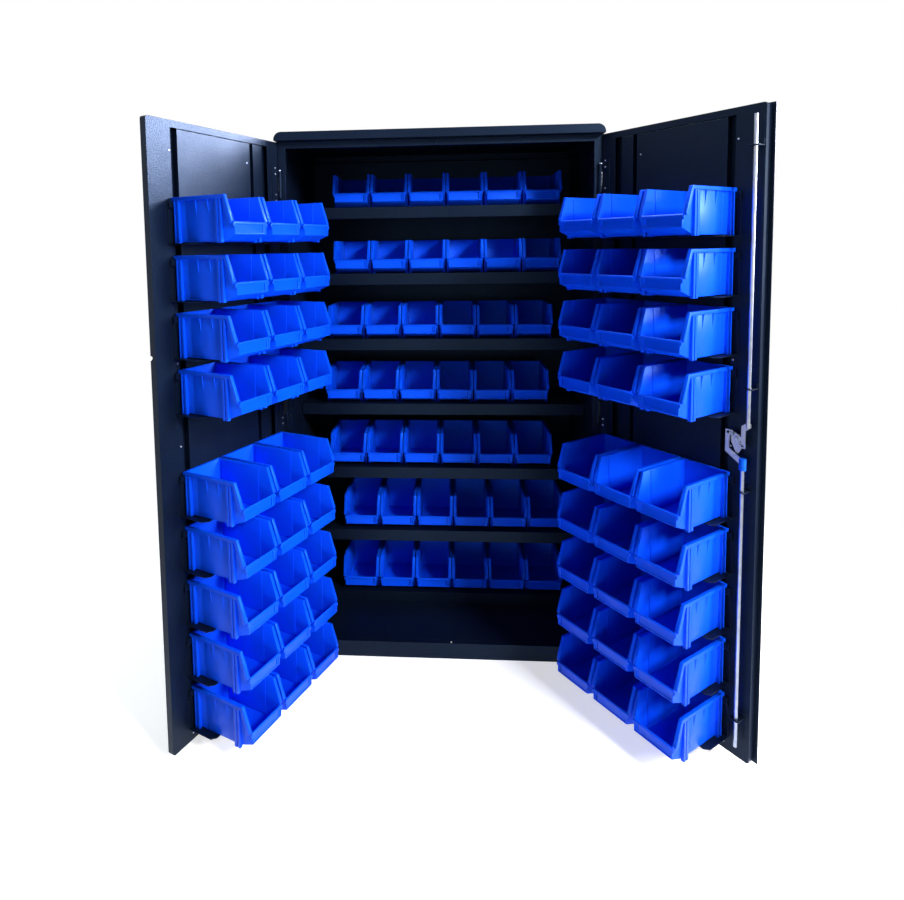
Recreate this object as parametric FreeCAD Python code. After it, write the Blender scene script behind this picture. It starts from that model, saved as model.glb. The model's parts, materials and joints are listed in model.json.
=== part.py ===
"""Two-door steel parts cabinet with hanging and shelf-standing plastic bins, in millimetres.

The origin is at the middle of the underside, +Z is up and the doors are at the -Y side.
The doors are drawn shut in their own frame, then swung open to where they rest.
"""
import FreeCAD, Part
import os
from math import cos, radians, sin
from FreeCAD import Vector

# Cabinet body
cabinet_width = 1080.0
cabinet_height = 1830.0
body_depth = 566.0
panel_sheet = 1.5
overrun = 5.0
quarter_turn = 90.0

# Front frame
jamb_width = 29.0
jamb_return = 20.0
top_jamb_height = 22.0
sill_height = 56.0
floor_height = 54.0
floor_side_lip = 30.0
rear_flange = 25.0

# Roof cap
roof_cap_height = 28.0
roof_corner_radius = 25.0
roof_overhang = 34.0
roof_seat_width = 20.0

# Runners under the floor
runner_width = 60.0
runner_from_side = 175.0

# Shelves
shelf_count = 7
top_shelf_headroom = 206.0
shelf_lip_height = 42.0
shelf_lip_return = 12.0
shelf_rear_lip = 25.0
shelf_setback = 250.0
shelf_side_gap = 3.5
clip_width = 30.0
clip_leg = 20.5
clip_height = 25.0
clip_inset = 60.0

# Doors, drawn shut
door_gap_top = 2.0
door_gap_bottom = 20.0
door_gap_middle = 2.0
door_back_gap = 0.5
door_depth = 21.0
door_hinge_edge = 5.0
hinge_lip_width = 49.0
free_lip_width = 79.0
door_end_lip = 20.0
door_corner_radius = 8.0
liner_near_edge = 136.0
liner_from_free_edge = 102.0
stiffener_near_edge = 80.0
stiffener_far_edge = 122.0
liner_end_gap = 2.0
edge_notch_height = 1155.0
edge_notch_radius = 6.5
edge_notch_depth = 9.0

# Hinges
hinge_from_side = 11.0
hinge_from_front = 7.0
hinge_from_door_top = 140.0
hinge_from_door_bottom = 120.0
knuckle_radius = 5.5
pin_radius = 3.0
pin_fit = 0.05
frame_knuckle_length = 40.0
door_knuckle_length = 25.0
knuckle_gap = 0.3
leaf_sheet = 2.0
frame_leaf_sheet = 1.0
knuckle_neck = 8.0
frame_leaf_height = 76.0
door_leaf_height = 128.0
door_leaf_width = 26.0
pin_head_radius = 4.5
pin_head_height = 3.0

# Where the doors rest, as the angle that each stands open
left_door_open = 114.1
right_door_open = 125.8

# One plastic bin
bin_width = 140.0
bin_depth = 220.0
bin_height = 125.0
bin_wall = 2.5
bin_foot = 2.5
bin_wall_half_top = 63.0
bin_wall_half_base = 60.0
rim_height = 9.5
rim_front = 193.0
lip_top = 50.8
lip_bottom = 20.4
lip_half_width = 65.7
lip_notch_depth = 5.7
lip_notch_top = 38.0
lip_notch_slope = 4.0
base_front = 173.0
base_rear = 11.0
rear_wall_top = 6.5
slope_foot = 3.5
slope_rise = 5.2
rear_rim_depth = 9.0
hook_sheet = 2.5
hook_depth = 12.5
hook_half_width = 62.0
post_inset = 1.0
rear_post = 8.0
rear_post_width = 18.0
front_post = 160.0
front_post_width = 20.0
rib_places = (87.0, 131.0)
rib_width = 8.0
rib_reach = 58.0
slope_inset_share = 0.75
label_border = 3.5
label_recess = 1.0

# How the bins stand on the shelves
shelf_bin_pitch = 143.0
shelf_end_space = 60.0
shelf_bin_shift = 5.0
shelf_row_shifts = (25.4, 23.3, -5.7, -18.7, -6.4, 42.4, 34.6)

# How the bins hang on the doors
door_bin_pitch = 146.0
door_bins_from_free_edge = 67.5
door_bins_near_limit = 20.0
door_hook_gap = 2.5
upper_row_count = 4
lower_row_count = 5
door_row_spacing = 158.8
upper_row_base = 1464.5
lower_row_base = 696.0
rail_sheet = 2.0
rail_ledge_depth = 96.0
rail_ledge_drop = 0.5
rail_past_bins = 8.5
rail_near_edge = 26.0
rail_corner = 13.0
rail_leaf_gap = 1.2
rail_hook_clearance = 0.9
rail_joggle_rise = 6.0
rail_joggle_below_hook = 11.0

# Lock on the right door
rod_radius = 5.0
lower_rod_from_edge = 26.0
upper_rod_from_edge = 14.0
rod_stand_off = 16.0
rod_hole_clearance = 1.5
rod_end_gap = 10.0
cam_from_edge = 49.0
cam_height = 922.0
cam_arm = 20.0
half_swing = 45.0
cam_sheet = 3.0
cam_stand_off = 5.0
cam_pin_radius = 3.0
cam_pin_play = 0.7
cam_pin_length = 8.0
cam_rim = 6.0
cam_tail = 40.0
arm_sheet = 3.0
arm_border = 3.5
arm_drop = 54.0
arm_bar_width = 11.0
rod_top_below_cam = 57.0
rod_foot_above_cam = 38.0
rod_cap_radius = 9.0
rod_cap_length = 31.0
rod_cap_above = 9.0
rod_cap_fit = 0.1
spindle_radius = 5.0
spindle_fit = 0.05
sleeve_radius = 9.0
sleeve_fit = 0.3
sleeve_past_lip = 5.0
nut_radius = 6.0
nut_height = 5.0
nut_sides = 6
plate_width = 44.0
plate_height = 120.0
plate_sheet = 4.0
handle_length = 105.0
handle_width = 18.0
handle_sheet = 9.0
handle_hub_radius = 15.0
handle_stand_off = 24.0
handle_gap = 0.3
guide_from_door_bottom = 123.0
guide_from_door_top = 110.0
guide_from_cam = 140.0
guide_sheet = 3.0
guide_width = 24.0
guide_foot = 18.0
guide_cap = 5.0
guide_bore_gap = 0.3
strip_width = 37.0
strip_past_edge = 12.0
strip_sheet = 1.5
strip_gap = 0.3

# Worked out from the values above
half_width = cabinet_width / 2
front_y = -body_depth / 2
back_y = body_depth / 2
inner_half_width = half_width - panel_sheet
jamb_edge = half_width - jamb_width
roof_underside = cabinet_height - roof_cap_height
hinge_x = half_width - hinge_from_side
hinge_y = front_y - hinge_from_front
door_lip = -(knuckle_radius + door_back_gap)
door_outer = door_lip - door_depth
door_inner_skin = door_outer + panel_sheet
door_free_edge = hinge_x - door_gap_middle
leaf_near_edge = door_hinge_edge + panel_sheet
leaf_far_edge = leaf_near_edge + door_leaf_width
door_bottom = door_gap_bottom
door_top = roof_underside - door_gap_top
bin_hook_plane = door_lip + door_hook_gap
rim_half = bin_width / 2
rim_underside = bin_height - rim_height
lower_rod_u = door_free_edge - lower_rod_from_edge
upper_rod_u = door_free_edge - upper_rod_from_edge
cam_u = door_free_edge - cam_from_edge
rod_v = rod_stand_off
cam_face = cam_stand_off + cam_sheet
arm_face = rod_v - rod_radius
hinge_heights = (door_top - hinge_from_door_top,
                 (door_top - hinge_from_door_top + door_bottom + hinge_from_door_bottom) / 2,
                 door_bottom + hinge_from_door_bottom)
lower_guide_heights = (door_bottom + guide_from_door_bottom, cam_height - guide_from_cam)
upper_guide_heights = (cam_height + guide_from_cam, door_top - guide_from_door_top)
lowest_shelf_top = floor_height + shelf_lip_height
shelf_spacing = (roof_underside - top_shelf_headroom - lowest_shelf_top) / (shelf_count - 1)
shelf_tops = [lowest_shelf_top + shelf_spacing * k for k in range(shelf_count)]
shelf_bin_count = int(2 * (inner_half_width - shelf_end_space) // shelf_bin_pitch)
door_bins_far_edge = door_free_edge - door_bins_from_free_edge
door_bin_count = int((door_bins_far_edge - door_bins_near_limit) // door_bin_pitch)
row_bases = [upper_row_base - door_row_spacing * k for k in range(upper_row_count)]
row_bases += [lower_row_base - door_row_spacing * k for k in range(lower_row_count)]


def prism(points, axis, start, end):
    """A straight prism: points lie in the plane square to the axis, in the order of the other two axes."""
    if axis == "x":
        corners = [Vector(start, p, q) for p, q in points]
        path = Vector(end - start, 0, 0)
    elif axis == "y":
        corners = [Vector(p, start, q) for p, q in points]
        path = Vector(0, end - start, 0)
    else:
        corners = [Vector(p, q, start) for p, q in points]
        path = Vector(0, 0, end - start)
    return Part.Face(Part.makePolygon(corners + [corners[0]])).extrude(path)


def block(x0, x1, y0, y1, z0, z1):
    """A box between two corners."""
    return Part.makeBox(x1 - x0, y1 - y0, z1 - z0, Vector(x0, y0, z0))


def rod(radius, x, y, z0, z1):
    """An upright cylinder."""
    return Part.makeCylinder(radius, z1 - z0, Vector(x, y, z0))


def pin_along_y(radius, x, z, y0, y1):
    """A cylinder that lies along Y."""
    return Part.makeCylinder(radius, y1 - y0, Vector(x, y0, z), Vector(0, 1, 0))


def joined(pieces):
    """One solid out of pieces that touch or overlap."""
    return pieces[0].multiFuse(pieces[1:]).removeSplitter()


def mirrored(shape):
    """The same shape on the other side of the YZ plane."""
    return shape.mirror(Vector(0, 0, 0), Vector(1, 0, 0))


def save(name, shapes):
    """Write one node, a single solid or a group of separate ones."""
    solids = [solid for shape in shapes for solid in shape.Solids]
    for solid in solids:
        if not solid.isValid() or solid.Volume <= 0:
            print("bad solid in", name)
    group = solids[0] if len(solids) == 1 else Part.makeCompound(solids)
    group.exportStep("parts/" + name + ".step")


# The cabinet's body

def side_panel():
    """The left side: one bent sheet with the front jamb, its return, a top flange and a rear flange."""
    x0 = -half_width
    x1 = -jamb_edge
    sheet = panel_sheet
    plan = [
        (x0, front_y), (x1, front_y), (x1, front_y + jamb_return), (x1 - sheet, front_y + jamb_return),
        (x1 - sheet, front_y + sheet), (x0 + sheet, front_y + sheet), (x0 + sheet, back_y - sheet),
        (x0 + rear_flange, back_y - sheet), (x0 + rear_flange, back_y), (x0, back_y),
    ]
    wall = prism(plan, "z", 0, roof_underside)
    flange = block(x0, x0 + roof_seat_width, front_y, back_y, roof_underside - sheet, roof_underside)
    return joined([wall, flange])


def back_panel():
    """A flat sheet against the rear flanges of the sides."""
    y1 = back_y - panel_sheet
    top = roof_underside - panel_sheet
    return block(-inner_half_width, inner_half_width, y1 - panel_sheet, y1, 0, top)


def roof_outline(half, top, radius, underside):
    """The cap's end view: square below, with two rounded top corners."""
    lean = radius * cos(radians(quarter_turn / 2))
    left = -half + radius
    right = half - radius
    crown = top - radius
    edges = [
        Part.makeLine(Vector(-half, 0, underside), Vector(-half, 0, crown)),
        Part.Arc(Vector(-half, 0, crown), Vector(left - lean, 0, crown + lean), Vector(left, 0, top)).toShape(),
        Part.makeLine(Vector(left, 0, top), Vector(right, 0, top)),
        Part.Arc(Vector(right, 0, top), Vector(right + lean, 0, crown + lean), Vector(half, 0, crown)).toShape(),
        Part.makeLine(Vector(half, 0, crown), Vector(half, 0, underside)),
        Part.makeLine(Vector(half, 0, underside), Vector(-half, 0, underside)),
    ]
    return Part.Face(Part.Wire(edges))


def roof_cap():
    """A shallow cap with rounded ends that reaches forward over the shut doors."""
    y0 = front_y - roof_overhang
    sheet = panel_sheet
    outer = roof_outline(half_width, cabinet_height, roof_corner_radius, roof_underside)
    inner = roof_outline(half_width - sheet, cabinet_height - sheet, roof_corner_radius - sheet, roof_underside + sheet)
    outer.translate(Vector(0, y0, 0))
    inner.translate(Vector(0, y0 + sheet, 0))
    shell = outer.extrude(Vector(0, back_y - y0, 0))
    hollow = inner.extrude(Vector(0, back_y - y0 - 2 * sheet, 0))
    seat = half_width - roof_seat_width
    opening = block(-seat, seat, front_y + roof_seat_width, back_y - roof_seat_width,
                    roof_underside - overrun, roof_underside + sheet + sheet)
    return shell.cut(hollow).cut(opening)


def rod_hole(rod_u, z0, z1):
    """The clearance hole that a lock rod enters, seen with the doors shut."""
    return rod(rod_radius + rod_hole_clearance, hinge_x - rod_u, hinge_y + rod_v, z0, z1)


def top_jamb():
    """The channel over the opening, with the upper rod's hole in its lower flange."""
    z0 = roof_underside - top_jamb_height
    z1 = roof_underside
    y1 = front_y + jamb_return
    sheet = panel_sheet
    section = [
        (front_y, z0), (y1, z0), (y1, z0 + sheet), (front_y + sheet, z0 + sheet),
        (front_y + sheet, z1 - sheet), (y1, z1 - sheet), (y1, z1), (front_y, z1),
    ]
    return prism(section, "x", -jamb_edge, jamb_edge).cut(rod_hole(upper_rod_u, z0 - overrun, z0 + overrun))


def sill():
    """The channel under the opening, with the lower rod's hole in its top flange."""
    y1 = front_y + jamb_return
    sheet = panel_sheet
    section = [
        (front_y, 0), (y1, 0), (y1, sheet), (front_y + sheet, sheet), (front_y + sheet, sill_height - sheet),
        (y1 - sheet, sill_height - sheet), (y1 - sheet, floor_height), (y1, floor_height), (y1, sill_height),
        (front_y, sill_height),
    ]
    channel = prism(section, "x", -jamb_edge, jamb_edge)
    return channel.cut(rod_hole(lower_rod_u, sill_height - overrun, sill_height + overrun))


def floor_panel():
    """The bottom tray: a flat sheet with a lip turned down along each side."""
    x1 = inner_half_width
    sheet = panel_sheet
    low = floor_height - floor_side_lip
    section = [
        (-x1, low), (-x1 + sheet, low), (-x1 + sheet, floor_height - sheet), (x1 - sheet, floor_height - sheet),
        (x1 - sheet, low), (x1, low), (x1, floor_height), (-x1, floor_height),
    ]
    return prism(section, "y", front_y + jamb_return, back_y - 2 * panel_sheet)


def floor_runners():
    """Open channels that carry the floor, standing on the ground."""
    sheet = panel_sheet
    top = floor_height - sheet
    half = runner_width / 2
    reach = half_width - runner_from_side
    runners = []
    for x in (-reach, 0, reach):
        section = [
            (x - half, 0), (x + half, 0), (x + half, top), (x + half - sheet, top),
            (x + half - sheet, sheet), (x - half + sheet, sheet), (x - half + sheet, top), (x - half, top),
        ]
        runners.append(prism(section, "y", front_y + jamb_return, back_y - 2 * panel_sheet))
    return runners


def shelf(top):
    """A folded shelf with a deep front lip and a shorter rear lip."""
    y0 = front_y + shelf_setback
    y1 = back_y - 2 * panel_sheet
    sheet = panel_sheet
    low = top - shelf_lip_height
    section = [
        (y0, low), (y0 + shelf_lip_return, low), (y0 + shelf_lip_return, low + sheet), (y0 + sheet, low + sheet),
        (y0 + sheet, top - sheet), (y1 - sheet, top - sheet), (y1 - sheet, top - shelf_rear_lip),
        (y1, top - shelf_rear_lip), (y1, top), (y0, top),
    ]
    half = inner_half_width - shelf_side_gap
    return prism(section, "x", -half, half)


def shelf_clips():
    """Angle clips on the side walls, four to a shelf."""
    clips = []
    sheet = panel_sheet
    x0 = -inner_half_width
    for top in shelf_tops:
        under = top - sheet
        section = [
            (x0, under - clip_height), (x0 + sheet, under - clip_height), (x0 + sheet, under - sheet),
            (x0 + clip_leg, under - sheet), (x0 + clip_leg, under), (x0, under),
        ]
        front_place = front_y + shelf_setback + clip_inset
        rear_place = back_y - clip_inset - clip_width
        for y in (front_place, rear_place):
            left = prism(section, "y", y, y + clip_width)
            clips += [left, mirrored(left)]
    return clips


# Doors, drawn shut with x from the hinge axis, y into the cabinet and z up

def rounded_slab(x0, x1, y0, y1, z0, z1, radius):
    """A box whose two edges along Y at the far side are rounded."""
    slab = block(x0, x1, y0, y1, z0, z1)
    edges = [edge for edge in slab.Edges if edge.BoundBox.XMin > (x0 + x1) / 2 and edge.BoundBox.YLength > 0
             and edge.BoundBox.XLength < (x1 - x0) / 2 and edge.BoundBox.ZLength < (z1 - z0) / 2]
    edges = [edge for edge in edges if edge.BoundBox.YLength > (y1 - y0) / 2]
    return slab.makeFillet(radius, edges)


def door_skin():
    """One folded tray: outer face, four edges and the lips turned back along them."""
    sheet = panel_sheet
    tray = rounded_slab(door_hinge_edge, door_free_edge, door_outer, door_lip, door_bottom, door_top,
                        door_corner_radius)
    hollow = rounded_slab(door_hinge_edge + sheet, door_free_edge - sheet, door_inner_skin, door_lip - sheet,
                          door_bottom + sheet, door_top - sheet, door_corner_radius - sheet)
    window = block(door_hinge_edge + hinge_lip_width, door_free_edge - free_lip_width,
                   door_lip - sheet - sheet, door_lip + overrun,
                   door_bottom + door_end_lip, door_top - door_end_lip)
    return tray.cut(hollow).cut(window)


def edge_notch():
    """The half-round notch in the outer corner of the left door's free edge."""
    return pin_along_y(edge_notch_radius, door_free_edge, edge_notch_height, door_outer - overrun,
                       door_outer + edge_notch_depth)


def hat_section(near, far):
    """A folded channel on the inside of the skin, level with the lips."""
    sheet = panel_sheet
    plan = [
        (near, door_inner_skin), (near + sheet, door_inner_skin), (near + sheet, door_lip - sheet),
        (far - sheet, door_lip - sheet), (far - sheet, door_inner_skin), (far, door_inner_skin),
        (far, door_lip), (near, door_lip),
    ]
    low = door_bottom + door_end_lip + liner_end_gap
    high = door_top - door_end_lip - liner_end_gap
    return prism(plan, "z", low, high)


def bin_rail(base):
    """A folded rail: the bins hook over its upper edge and their feet clear its ledge."""
    sheet = rail_sheet
    ledge_top = base - rail_ledge_drop
    ledge_low = ledge_top - sheet
    hook_low = base + rim_underside - hook_depth
    bend = hook_low - rail_joggle_below_hook
    top = base + rim_underside
    lip = bin_hook_plane + hook_sheet + rail_hook_clearance
    near = rail_near_edge
    far = door_bins_far_edge + rail_past_bins
    section = [
        (door_lip, ledge_low), (door_lip + rail_ledge_depth, ledge_low), (door_lip + rail_ledge_depth, ledge_top),
        (door_lip + sheet, ledge_top), (door_lip + sheet, bend), (lip + sheet, bend + rail_joggle_rise),
        (lip + sheet, top), (lip, top), (lip, bend + rail_joggle_rise), (door_lip, bend),
    ]
    rail = prism(section, "x", near, far)
    notch = block(near - overrun, leaf_far_edge + rail_leaf_gap, door_lip - overrun, lip + sheet + overrun,
                  ledge_top, top + overrun)
    rail = rail.cut(notch)
    front = door_lip + rail_ledge_depth
    for edge, inward in ((near, 1), (far, -1)):
        corner = [
            (edge - inward * overrun, front + overrun), (edge - inward * overrun, front - rail_corner),
            (edge, front - rail_corner), (edge + inward * rail_corner, front),
            (edge + inward * rail_corner, front + overrun),
        ]
        rail = rail.cut(prism(corner, "z", ledge_low - overrun, ledge_top + sheet))
    return rail


# Hinges

def knuckle(z0, z1):
    """A barrel round the pin, on the hinge axis."""
    return rod(knuckle_radius, 0, 0, z0, z1)


def pin_bore(z0, z1):
    """The bore that the pin turns in."""
    return rod(pin_radius + pin_fit, 0, 0, z0 - overrun, z1 + overrun)


def frame_leaf(height):
    """The leaf on the cabinet's jamb, with the middle knuckle."""
    half = frame_knuckle_length / 2
    tall = frame_leaf_height / 2
    face = hinge_from_front
    far = jamb_width - hinge_from_side - panel_sheet
    barrel = knuckle(height - half, height + half)
    near = -knuckle_neck / 2
    neck = block(near, knuckle_neck / 2, 0, face, height - half, height + half)
    leaf = block(near, far, face - frame_leaf_sheet, face, height - tall, height + tall)
    return joined([barrel, neck, leaf]).cut(pin_bore(height - half, height + half))


def door_leaf(height):
    """The leaf on the door's lip, with the upper and lower knuckles."""
    half = frame_knuckle_length / 2 + knuckle_gap
    top = half + door_knuckle_length
    tall = door_leaf_height / 2
    pieces = []
    for z0, z1 in ((height + half, height + top), (height - top, height - half)):
        pieces.append(knuckle(z0, z1))
        pieces.append(block(0, leaf_near_edge + leaf_sheet, door_lip, door_lip + leaf_sheet, z0, z1))
    pieces.append(block(leaf_near_edge, leaf_far_edge, door_lip, door_lip + leaf_sheet, height - tall, height + tall))
    return joined(pieces).cut(pin_bore(height - top, height + top))


def hinge_pin(height):
    """A headed pin through the three knuckles."""
    reach = frame_knuckle_length / 2 + knuckle_gap + door_knuckle_length
    shank = rod(pin_radius, 0, 0, height - reach, height + reach + knuckle_gap)
    head = rod(pin_head_radius, 0, 0, height + reach + knuckle_gap, height + reach + knuckle_gap + pin_head_height)
    return joined([shank, head])


# One bin, with x across it, y forward from its hook and z up from its feet

def bin_profile(inset):
    """The side view of the tub, drawn in by a wall's thickness."""
    slope_low = bin_depth - slope_foot
    if inset:
        tall = bin_height + overrun
        return [
            (base_rear + inset, bin_foot + inset), (base_front - inset * (1 - slope_inset_share), bin_foot + inset),
            (bin_depth - inset, lip_bottom + inset * slope_inset_share), (bin_depth - inset, tall),
            (rear_wall_top + inset, tall), (rear_wall_top + inset, bin_height),
        ]
    return [
        (base_rear, bin_foot), (base_front, bin_foot), (bin_depth, lip_bottom), (bin_depth, lip_top),
        (slope_low, lip_top + slope_rise), (rim_front, bin_height), (rear_wall_top, bin_height),
    ]


def bin_tub(inset):
    """The drafted tub, or the hollow inside it."""
    low = bin_wall_half_base - inset
    high = bin_wall_half_top - inset
    ends = [(-low, 0), (low, 0), (high, bin_height)]
    if inset:
        ends += [(high, bin_height + overrun), (-high, bin_height + overrun)]
    ends += [(-high, bin_height)]
    across = prism(ends, "y", -overrun, bin_depth + overrun)
    along = prism(bin_profile(inset), "x", -rim_half, rim_half)
    return along.common(across)


def bin_side_trim(side):
    """The rim, sloping rim, posts and ribs on one side wall."""
    inner = side * (bin_wall_half_top - post_inset)
    outer = side * rim_half
    low, high = min(inner, outer), max(inner, outer)
    slope_low = bin_depth - slope_foot
    rim = prism([(0, rim_underside), (rim_front - slope_foot, rim_underside), (rim_front, bin_height),
                 (0, bin_height)], "x", low, high)
    slope = prism([(rim_front - rim_height, bin_height), (rim_front, bin_height),
                   (slope_low, lip_top + slope_rise), (slope_low - slope_foot, lip_top),
                   (slope_low - rim_height, lip_top)], "x", low, high)
    pieces = [rim, slope]
    low_root = side * (bin_wall_half_base - post_inset)
    high_root = side * (bin_wall_half_top - post_inset)
    face = side * (rim_half - post_inset)
    top = rim_underside + post_inset
    for y, width in ((rear_post, rear_post_width), (front_post, front_post_width)):
        pieces.append(prism([(low_root, 0), (face, 0), (face, top), (high_root, top)], "y", y, y + width))
    for y in rib_places:
        pieces.append(side_rib(side, y))
    return pieces


def side_rib(side, y):
    """A tapered rib that runs from the rim down to a point on the wall."""
    root = side * (bin_wall_half_base + post_inset)
    face = side * (rim_half - post_inset)
    top = rim_underside + post_inset
    corners = [Vector(root, y - rib_width / 2, top), Vector(root, y + rib_width / 2, top),
               Vector(face, y, top), Vector(root, y, rib_reach)]
    faces = []
    for a, b, c in ((0, 1, 2), (0, 1, 3), (1, 2, 3), (0, 2, 3)):
        faces.append(Part.Face(Part.makePolygon([corners[a], corners[b], corners[c], corners[a]])))
    rib = Part.Solid(Part.Shell(faces))
    if rib.Volume < 0:
        rib.reverse()
    return rib


def bin_front_lip():
    """The upright lip, wider above than below, so that a finger gap stays between two bins."""
    half = lip_half_width
    narrow = half - lip_notch_depth
    step = lip_notch_top + lip_notch_slope
    outline = [(-narrow, lip_bottom), (narrow, lip_bottom), (narrow, lip_notch_top), (half, step), (half, lip_top),
               (-half, lip_top), (-half, step), (-narrow, lip_notch_top)]
    return prism(outline, "y", bin_depth - bin_wall, bin_depth)


def label_pocket():
    """The sunk panel that a label would fill."""
    half = lip_half_width - lip_notch_depth - label_border
    return block(-half, half, bin_depth - label_recess, bin_depth + overrun,
                 lip_bottom + label_border, lip_top - label_border)


def make_bin():
    """One moulded bin."""
    pieces = [bin_tub(0).cut(bin_tub(bin_wall))]
    pieces += bin_side_trim(-1) + bin_side_trim(1)
    pieces.append(block(-rim_half, rim_half, 0, rear_rim_depth, rim_underside, bin_height))
    pieces.append(block(-hook_half_width, hook_half_width, 0, hook_sheet, rim_underside - hook_depth, bin_height))
    pieces.append(bin_front_lip())
    return joined(pieces).cut(label_pocket()).Solids[0]


def shelf_row(one_bin, shift, top):
    """The bins side by side on a shelf, lips to the front."""
    facing = one_bin.copy()
    facing.rotate(Vector(0, 0, 0), Vector(0, 0, 1), 2 * quarter_turn)
    row = []
    front = front_y + shelf_setback + shelf_bin_shift
    left = shift - shelf_bin_count * shelf_bin_pitch / 2
    for k in range(shelf_bin_count):
        copy = facing.copy()
        copy.translate(Vector(left + (k + 1 / 2) * shelf_bin_pitch, front + bin_depth, top))
        row.append(copy)
    return row


def door_row(one_bin, base):
    """The bins hooked over one door rail, drawn with the door shut."""
    row = []
    for k in range(door_bin_count):
        copy = one_bin.copy()
        copy.translate(Vector(door_bins_far_edge - (k + 1 / 2) * door_bin_pitch, bin_hook_plane, base))
        row.append(copy)
    return row


# The lock on the right door, drawn in the same frame as the doors

def cam_pin_place(side):
    """Where a cam pin stands with the lock undone: side -1 is nearer the hinge, 1 nearer the free edge."""
    reach = cam_arm * cos(radians(half_swing))
    return cam_u + side * reach, cam_height - side * reach


def lock_plate():
    """The outside plate and the sleeve that carries the spindle through the door."""
    half = plate_width / 2
    tall = plate_height / 2
    plate = block(cam_u - half, cam_u + half, door_outer - plate_sheet, door_outer,
                  cam_height - tall, cam_height + tall)
    sleeve = pin_along_y(sleeve_radius, cam_u, cam_height, door_outer, door_lip + sleeve_past_lip)
    bore = pin_along_y(spindle_radius + spindle_fit, cam_u, cam_height,
                       door_outer - plate_sheet - overrun, door_lip + sleeve_past_lip + overrun)
    return joined([plate, sleeve]).cut(bore)


def sleeve_hole():
    """The hole in the door's skin and lip for the lock's sleeve."""
    return pin_along_y(sleeve_radius + sleeve_fit, cam_u, cam_height, door_outer - overrun, door_lip + overrun)


def door_handle():
    """The outside turn handle with its spindle."""
    outside = door_outer - plate_sheet
    hub = pin_along_y(handle_hub_radius, cam_u, cam_height, outside - handle_stand_off, outside - handle_gap)
    grip = block(cam_u - handle_length, cam_u, outside - handle_stand_off, outside - handle_stand_off + handle_sheet,
                 cam_height - handle_width / 2, cam_height + handle_width / 2)
    spindle = pin_along_y(spindle_radius, cam_u, cam_height, outside - handle_stand_off, cam_stand_off)
    return joined([hub, grip, spindle])


def lock_cam():
    """The three-cornered cam plate with its two pins and the spindle nut."""
    left_u, left_z = cam_pin_place(-1)
    right_u, right_z = cam_pin_place(1)
    rim = cam_rim
    outline = [
        (left_u - rim, left_z), (left_u, left_z + rim), (right_u, cam_height + rim), (right_u + rim, cam_height),
        (right_u + rim, right_z), (cam_u + rim, cam_height - cam_tail), (cam_u, cam_height - cam_tail),
        (left_u - rim, cam_height),
    ]
    plate = prism(outline, "y", cam_stand_off, cam_face)
    pins = [pin_along_y(cam_pin_radius, u, z, cam_face, cam_face + cam_pin_length)
            for u, z in ((left_u, left_z), (right_u, right_z))]
    corners = []
    for k in range(nut_sides):
        angle = radians(4 * quarter_turn * k / nut_sides)
        corners.append((cam_u + nut_radius * cos(angle), cam_height + nut_radius * sin(angle)))
    nut = prism(corners, "y", cam_face, cam_face + nut_height)
    return joined([plate, nut] + pins)


def pin_slot(side):
    """The level slot in a rod's arm that a cam pin slides along."""
    play = cam_pin_radius + cam_pin_play
    near, z = cam_pin_place(side)
    far = cam_u + side * cam_arm
    return block(min(near, far) - play, max(near, far) + play, arm_face - overrun, arm_face + arm_sheet + overrun,
                 z - play, z + play)


def arm_head(side):
    """The head of a rod's arm round the slot."""
    play = cam_pin_radius + cam_pin_play + arm_border
    near, z = cam_pin_place(side)
    far = cam_u + side * cam_arm
    return block(min(near, far) - play, max(near, far) + play, arm_face, arm_face + arm_sheet, z - play, z + play)


def lower_rod():
    """The rod that drops into the sill, with its cranked arm up to the cam's near pin."""
    top = cam_height - rod_top_below_cam
    foot = sill_height + rod_end_gap
    near, head_z = cam_pin_place(-1)
    far = cam_u - cam_arm - cam_pin_radius - cam_pin_play - arm_border
    elbow = head_z - arm_drop
    bar = arm_bar_width
    stem = prism([(far, elbow), (far + bar, elbow), (far + bar, head_z), (far, head_z)], "y",
                 arm_face, arm_face + arm_sheet)
    left = lower_rod_u - bar / 2
    right = lower_rod_u + bar / 2
    link = prism([(far, elbow), (left, top - bar), (right, top - bar), (right, top), (far + bar, elbow + bar),
                  (far, elbow + bar)], "y", arm_face, arm_face + arm_sheet)
    shaft = rod(rod_radius, lower_rod_u, rod_v, foot, top)
    return joined([shaft, link, stem, arm_head(-1)]).cut(pin_slot(-1))


def upper_rod():
    """The rod that rises into the top jamb, with its short cranked arm down to the cam's far pin."""
    foot = cam_height + rod_foot_above_cam
    top = roof_underside - top_jamb_height - rod_end_gap
    near, head_z = cam_pin_place(1)
    far = cam_u + cam_arm + cam_pin_radius + cam_pin_play + arm_border
    bar = arm_bar_width
    left = upper_rod_u - bar / 2
    right = upper_rod_u + bar / 2
    arm = prism([(far - bar, head_z), (far, head_z), (far, foot - bar), (right, foot), (right, foot + bar),
                 (left, foot + bar), (far - bar, foot)], "y", arm_face, arm_face + arm_sheet)
    shaft = rod(rod_radius, upper_rod_u, rod_v, foot, top)
    return joined([shaft, arm, arm_head(1)]).cut(pin_slot(1))


def rod_cap():
    """The round plastic cap over the lower rod's top, slotted for the arm."""
    top = cam_height - rod_top_below_cam
    high = top + rod_cap_above
    low = high - rod_cap_length
    fit = rod_cap_fit
    left = lower_rod_u - rod_cap_radius - overrun
    right = lower_rod_u + arm_bar_width / 2 + fit
    bore = rod(rod_radius + fit, lower_rod_u, rod_v, low - overrun, top + fit)
    slot = block(left, right, arm_face - fit, arm_face + arm_sheet + fit, top - arm_bar_width - fit, high + overrun)
    return rod(rod_cap_radius, lower_rod_u, rod_v, low, high).cut(bore).cut(slot)


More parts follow.
